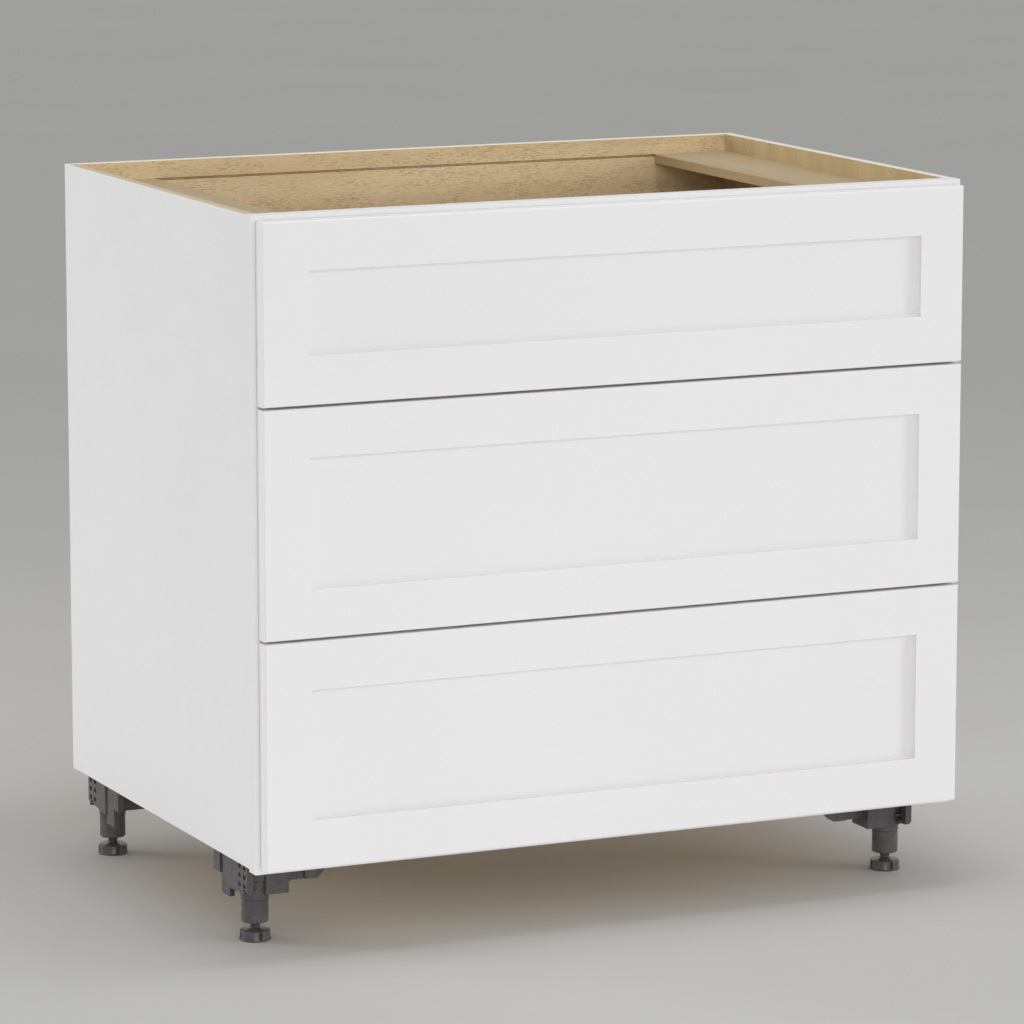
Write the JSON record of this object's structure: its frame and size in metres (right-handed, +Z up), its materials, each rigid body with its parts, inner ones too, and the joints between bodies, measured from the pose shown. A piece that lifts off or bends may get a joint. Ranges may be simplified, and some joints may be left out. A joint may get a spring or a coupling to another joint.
{
  "type": "base cabinet with drawers",
  "caption": "White shaker face-frame base cabinet with full-extension drawers, an open top and levelling legs.",
  "frame": {"origin": "on the floor, below the middle of the whole cabinet's box", "axes": "+X to the right seen from the front, +Y towards the wall, +Z up"},
  "size_m": [0.9144, 0.6296, 0.864],
  "materials": {
    "white_paint": "satin white paint on hardwood and board",
    "side_panel": "satin white outside, light wood inside",
    "case_wood": "clear satin on light plywood",
    "drawer_wood": "clear satin on light solid wood",
    "slide_steel": "zinc-plated sheet",
    "roller_nylon": "matte",
    "leg_plastic": "matte dark grey",
    "screw_steel": "zinc-plated"
  },
  "bodies": {
    "cabinet": {"left_side_panel": "side_panel", "right_side_panel": "side_panel", "bottom_panel": "case_wood", "back_panel": "case_wood", "back_top_rail": "case_wood", "left_top_board": "case_wood", "right_top_board": "case_wood", "face_left_stile": "white_paint", "face_right_stile": "white_paint", "face_top_rail": "white_paint", "face_mid_rails": "white_paint", "face_bottom_rail": "white_paint", "upper_slide_rails": "slide_steel", "middle_slide_rails": "slide_steel", "lower_slide_rails": "slide_steel", "slide_rear_brackets": "leg_plastic", "front_left_leg_socket": "leg_plastic", "front_left_leg_tube": "leg_plastic", "front_right_leg_socket": "leg_plastic", "front_right_leg_tube": "leg_plastic", "rear_left_leg_socket": "leg_plastic", "rear_left_leg_tube": "leg_plastic", "rear_right_leg_socket": "leg_plastic", "rear_right_leg_tube": "leg_plastic", "case_screws": "screw_steel", "hardware_screws": "screw_steel"},
    "upper_drawer": {"upper_front_stiles": "white_paint", "upper_front_rails": "white_paint", "upper_front_panel": "white_paint", "upper_box_sides": "drawer_wood", "upper_box_ends": "drawer_wood", "upper_box_bottom": "drawer_wood", "upper_slide_runners": "slide_steel", "upper_drawer_screws": "screw_steel"},
    "upper_carriages": {"upper_slide_carriages": "slide_steel", "upper_slide_rollers": "roller_nylon"},
    "middle_drawer": {"middle_front_stiles": "white_paint", "middle_front_rails": "white_paint", "middle_front_panel": "white_paint", "middle_box_sides": "drawer_wood", "middle_box_ends": "drawer_wood", "middle_box_bottom": "drawer_wood", "middle_slide_runners": "slide_steel", "middle_drawer_screws": "screw_steel"},
    "middle_carriages": {"middle_slide_carriages": "slide_steel", "middle_slide_rollers": "roller_nylon"},
    "lower_drawer": {"lower_front_stiles": "white_paint", "lower_front_rails": "white_paint", "lower_front_panel": "white_paint", "lower_box_sides": "drawer_wood", "lower_box_ends": "drawer_wood", "lower_box_bottom": "drawer_wood", "lower_slide_runners": "slide_steel", "lower_drawer_screws": "screw_steel"},
    "lower_carriages": {"lower_slide_carriages": "slide_steel", "lower_slide_rollers": "roller_nylon"},
    "front_left_foot": {"front_left_leg_foot": "leg_plastic"},
    "front_right_foot": {"front_right_leg_foot": "leg_plastic"},
    "rear_left_foot": {"rear_left_leg_foot": "leg_plastic"},
    "rear_right_foot": {"rear_right_leg_foot": "leg_plastic"}
  },
  "joints": [
    {"name": "upper_drawer_slide", "type": "slide", "parent": "cabinet", "child": "upper_drawer", "axis": [0, -1, 0], "range_m": [0, 0.508]},
    {"name": "upper_carriage_slide", "type": "slide", "parent": "cabinet", "child": "upper_carriages", "axis": [0, -1, 0], "range_m": [0, 0.254]},
    {"name": "middle_drawer_slide", "type": "slide", "parent": "cabinet", "child": "middle_drawer", "axis": [0, -1, 0], "range_m": [0, 0.508]},
    {"name": "middle_carriage_slide", "type": "slide", "parent": "cabinet", "child": "middle_carriages", "axis": [0, -1, 0], "range_m": [0, 0.254]},
    {"name": "lower_drawer_slide", "type": "slide", "parent": "cabinet", "child": "lower_drawer", "axis": [0, -1, 0], "range_m": [0, 0.508]},
    {"name": "lower_carriage_slide", "type": "slide", "parent": "cabinet", "child": "lower_carriages", "axis": [0, -1, 0], "range_m": [0, 0.254]},
    {"name": "front_left_foot_screw", "type": "slide", "parent": "cabinet", "child": "front_left_foot", "axis": [0, 0, -1], "range_m": [-0.008, 0.02]},
    {"name": "front_right_foot_screw", "type": "slide", "parent": "cabinet", "child": "front_right_foot", "axis": [0, 0, -1], "range_m": [-0.008, 0.02]},
    {"name": "rear_left_foot_screw", "type": "slide", "parent": "cabinet", "child": "rear_left_foot", "axis": [0, 0, -1], "range_m": [-0.008, 0.02]},
    {"name": "rear_right_foot_screw", "type": "slide", "parent": "cabinet", "child": "rear_right_foot", "axis": [0, 0, -1], "range_m": [-0.008, 0.02]}
  ],
  "couplings": [
    {"joint": "upper_carriage_slide", "follows": "upper_drawer_slide", "ratio": 0.5},
    {"joint": "middle_carriage_slide", "follows": "middle_drawer_slide", "ratio": 0.5},
    {"joint": "lower_carriage_slide", "follows": "lower_drawer_slide", "ratio": 0.5}
  ]
}
